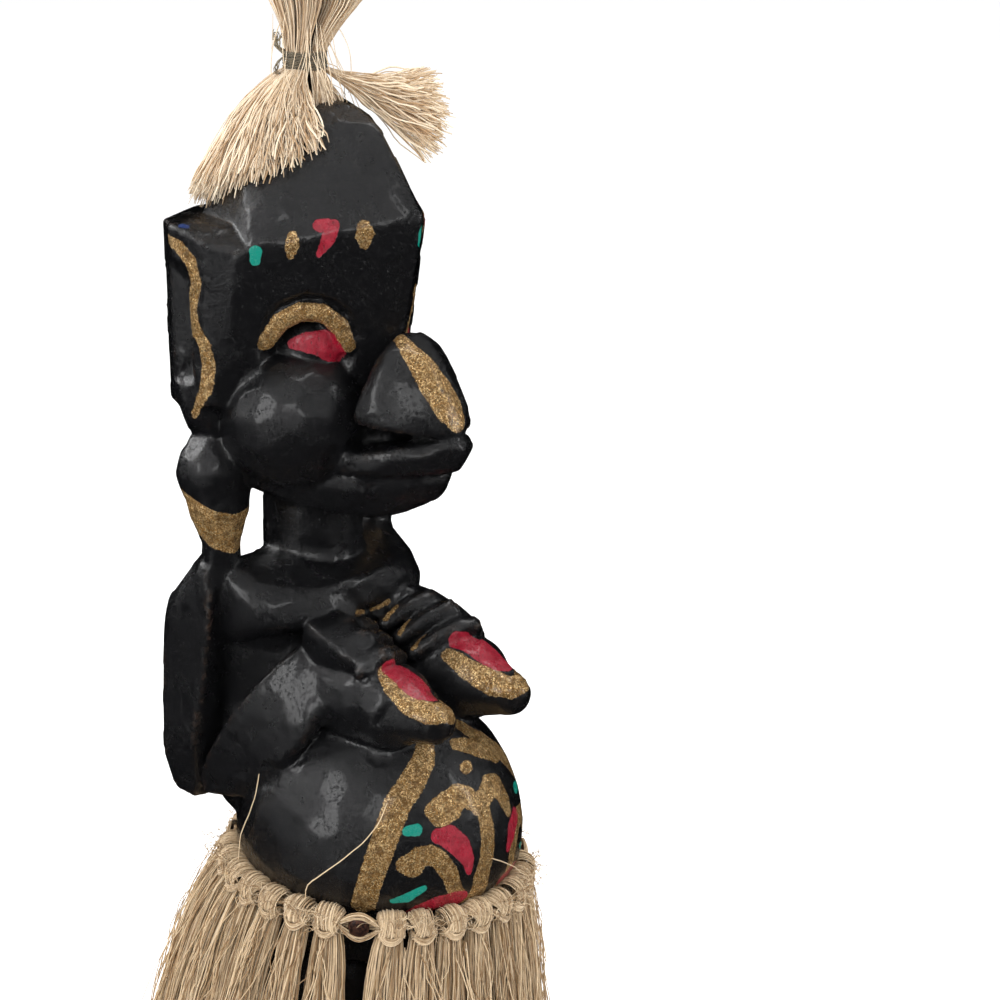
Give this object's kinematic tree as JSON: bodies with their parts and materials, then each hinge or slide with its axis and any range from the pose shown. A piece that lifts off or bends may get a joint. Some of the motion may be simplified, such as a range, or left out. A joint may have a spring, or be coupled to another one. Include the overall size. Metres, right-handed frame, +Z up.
{
  "type": "fertility doll",
  "caption": "Carved black wooden fertility doll with hands on a round belly, a knotted raffia skirt and a raffia topknot.",
  "frame": {"origin": "centre of the underside of the round base, on the axis of the log", "axes": "+Z up; the doll faces -Y; its own right hand is on the -X side"},
  "size_m": [0.1076, 0.106, 0.36],
  "materials": {
    "black_lacquered_wood": "glossy",
    "raffia": "natural fibre",
    "binding_twine": "dull",
    "nail_iron": "dark oxide"
  },
  "bodies": {
    "doll": {"carved_figure": "black_lacquered_wood", "skirt_cord": "raffia", "skirt_nails": "nail_iron", "hair_hank_side": "raffia", "hair_hank_front": "raffia", "hair_binding": "binding_twine"},
    "skirt_hank_01": {"skirt_hank_01": "raffia"},
    "skirt_hank_02": {"skirt_hank_02": "raffia"},
    "skirt_hank_03": {"skirt_hank_03": "raffia"},
    "skirt_hank_04": {"skirt_hank_04": "raffia"},
    "skirt_hank_05": {"skirt_hank_05": "raffia"},
    "skirt_hank_06": {"skirt_hank_06": "raffia"},
    "skirt_hank_07": {"skirt_hank_07": "raffia"},
    "skirt_hank_08": {"skirt_hank_08": "raffia"},
    "skirt_hank_09": {"skirt_hank_09": "raffia"},
    "skirt_hank_10": {"skirt_hank_10": "raffia"},
    "skirt_hank_11": {"skirt_hank_11": "raffia"},
    "skirt_hank_12": {"skirt_hank_12": "raffia"},
    "skirt_hank_13": {"skirt_hank_13": "raffia"},
    "skirt_hank_14": {"skirt_hank_14": "raffia"},
    "skirt_hank_15": {"skirt_hank_15": "raffia"},
    "skirt_hank_16": {"skirt_hank_16": "raffia"},
    "skirt_hank_17": {"skirt_hank_17": "raffia"},
    "skirt_hank_18": {"skirt_hank_18": "raffia"},
    "skirt_hank_19": {"skirt_hank_19": "raffia"},
    "skirt_hank_20": {"skirt_hank_20": "raffia"},
    "skirt_hank_21": {"skirt_hank_21": "raffia"},
    "skirt_hank_22": {"skirt_hank_22": "raffia"},
    "skirt_hank_23": {"skirt_hank_23": "raffia"},
    "skirt_hank_24": {"skirt_hank_24": "raffia"},
    "skirt_hank_25": {"skirt_hank_25": "raffia"},
    "skirt_hank_26": {"skirt_hank_26": "raffia"}
  },
  "joints": [
    {"name": "skirt_hank_01_swing", "type": "hinge", "parent": "doll", "child": "skirt_hank_01", "pos_m": [-0.00376, -0.04456, 0.10782], "axis": [-0.9945, 0.1038, 0.0122], "range_deg": [0, 70]},
    {"name": "skirt_hank_02_swing", "type": "hinge", "parent": "doll", "child": "skirt_hank_02", "pos_m": [-0.01112, -0.043, 0.10801], "axis": [-0.9511, 0.3069, 0.0361], "range_deg": [0, 70]},
    {"name": "skirt_hank_03_swing", "type": "hinge", "parent": "doll", "child": "skirt_hank_03", "pos_m": [-0.018, -0.03996, 0.10836], "axis": [-0.866, 0.4966, 0.0583], "range_deg": [0, 70]},
    {"name": "skirt_hank_04_swing", "type": "hinge", "parent": "doll", "child": "skirt_hank_04", "pos_m": [-0.02409, -0.03557, 0.10888], "axis": [-0.7431, 0.6646, 0.0781], "range_deg": [0, 70]},
    {"name": "skirt_hank_05_swing", "type": "hinge", "parent": "doll", "child": "skirt_hank_05", "pos_m": [-0.03289, -0.02354, 0.11029], "axis": [-0.4067, 0.9073, 0.1066], "range_deg": [0, 70]},
    {"name": "skirt_hank_06_swing", "type": "hinge", "parent": "doll", "child": "skirt_hank_06", "pos_m": [-0.03521, -0.01643, 0.11113], "axis": [-0.2079, 0.9715, 0.1141], "range_deg": [0, 70]},
    {"name": "skirt_hank_07_swing", "type": "hinge", "parent": "doll", "child": "skirt_hank_07", "pos_m": [-0.036, -0.009, 0.112], "axis": [0, 0.9932, 0.1167], "range_deg": [0, 70]},
    {"name": "skirt_hank_08_swing", "type": "hinge", "parent": "doll", "child": "skirt_hank_08", "pos_m": [-0.03521, -0.00157, 0.11287], "axis": [0.2079, 0.9715, 0.1141], "range_deg": [0, 70]},
    {"name": "skirt_hank_09_swing", "type": "hinge", "parent": "doll", "child": "skirt_hank_09", "pos_m": [-0.03289, 0.00554, 0.11371], "axis": [0.4067, 0.9073, 0.1066], "range_deg": [0, 70]},
    {"name": "skirt_hank_10_swing", "type": "hinge", "parent": "doll", "child": "skirt_hank_10", "pos_m": [-0.02912, 0.01202, 0.11447], "axis": [0.5878, 0.8035, 0.0944], "range_deg": [0, 70]},
    {"name": "skirt_hank_11_swing", "type": "hinge", "parent": "doll", "child": "skirt_hank_11", "pos_m": [-0.02409, 0.01757, 0.11512], "axis": [0.7431, 0.6646, 0.0781], "range_deg": [0, 70]},
    {"name": "skirt_hank_12_swing", "type": "hinge", "parent": "doll", "child": "skirt_hank_12", "pos_m": [-0.01112, 0.025, 0.11599], "axis": [0.9511, 0.3069, 0.0361], "range_deg": [0, 70]},
    {"name": "skirt_hank_13_swing", "type": "hinge", "parent": "doll", "child": "skirt_hank_13", "pos_m": [-0.00376, 0.02656, 0.11618], "axis": [0.9945, 0.1038, 0.0122], "range_deg": [0, 70]},
    {"name": "skirt_hank_14_swing", "type": "hinge", "parent": "doll", "child": "skirt_hank_14", "pos_m": [0.00376, 0.02656, 0.11618], "axis": [0.9945, -0.1038, -0.0122], "range_deg": [0, 70]},
    {"name": "skirt_hank_15_swing", "type": "hinge", "parent": "doll", "child": "skirt_hank_15", "pos_m": [0.01112, 0.025, 0.11599], "axis": [0.9511, -0.3069, -0.0361], "range_deg": [0, 70]},
    {"name": "skirt_hank_16_swing", "type": "hinge", "parent": "doll", "child": "skirt_hank_16", "pos_m": [0.02409, 0.01757, 0.11512], "axis": [0.7431, -0.6646, -0.0781], "range_deg": [0, 70]},
    {"name": "skirt_hank_17_swing", "type": "hinge", "parent": "doll", "child": "skirt_hank_17", "pos_m": [0.02912, 0.01202, 0.11447], "axis": [0.5878, -0.8035, -0.0944], "range_deg": [0, 70]},
    {"name": "skirt_hank_18_swing", "type": "hinge", "parent": "doll", "child": "skirt_hank_18", "pos_m": [0.03289, 0.00554, 0.11371], "axis": [0.4067, -0.9073, -0.1066], "range_deg": [0, 70]},
    {"name": "skirt_hank_19_swing", "type": "hinge", "parent": "doll", "child": "skirt_hank_19", "pos_m": [0.03521, -0.00157, 0.11287], "axis": [0.2079, -0.9715, -0.1141], "range_deg": [0, 70]},
    {"name": "skirt_hank_20_swing", "type": "hinge", "parent": "doll", "child": "skirt_hank_20", "pos_m": [0.036, -0.009, 0.112], "axis": [0, -0.9932, -0.1167], "range_deg": [0, 70]},
    {"name": "skirt_hank_21_swing", "type": "hinge", "parent": "doll", "child": "skirt_hank_21", "pos_m": [0.03521, -0.01643, 0.11113], "axis": [-0.2079, -0.9715, -0.1141], "range_deg": [0, 70]},
    {"name": "skirt_hank_22_swing", "type": "hinge", "parent": "doll", "child": "skirt_hank_22", "pos_m": [0.03289, -0.02354, 0.11029], "axis": [-0.4067, -0.9073, -0.1066], "range_deg": [0, 70]},
    {"name": "skirt_hank_23_swing", "type": "hinge", "parent": "doll", "child": "skirt_hank_23", "pos_m": [0.02409, -0.03557, 0.10888], "axis": [-0.7431, -0.6646, -0.0781], "range_deg": [0, 70]},
    {"name": "skirt_hank_24_swing", "type": "hinge", "parent": "doll", "child": "skirt_hank_24", "pos_m": [0.018, -0.03996, 0.10836], "axis": [-0.866, -0.4966, -0.0583], "range_deg": [0, 70]},
    {"name": "skirt_hank_25_swing", "type": "hinge", "parent": "doll", "child": "skirt_hank_25", "pos_m": [0.01112, -0.043, 0.10801], "axis": [-0.9511, -0.3069, -0.0361], "range_deg": [0, 70]},
    {"name": "skirt_hank_26_swing", "type": "hinge", "parent": "doll", "child": "skirt_hank_26", "pos_m": [0.00376, -0.04456, 0.10782], "axis": [-0.9945, -0.1038, -0.0122], "range_deg": [0, 70]}
  ]
}
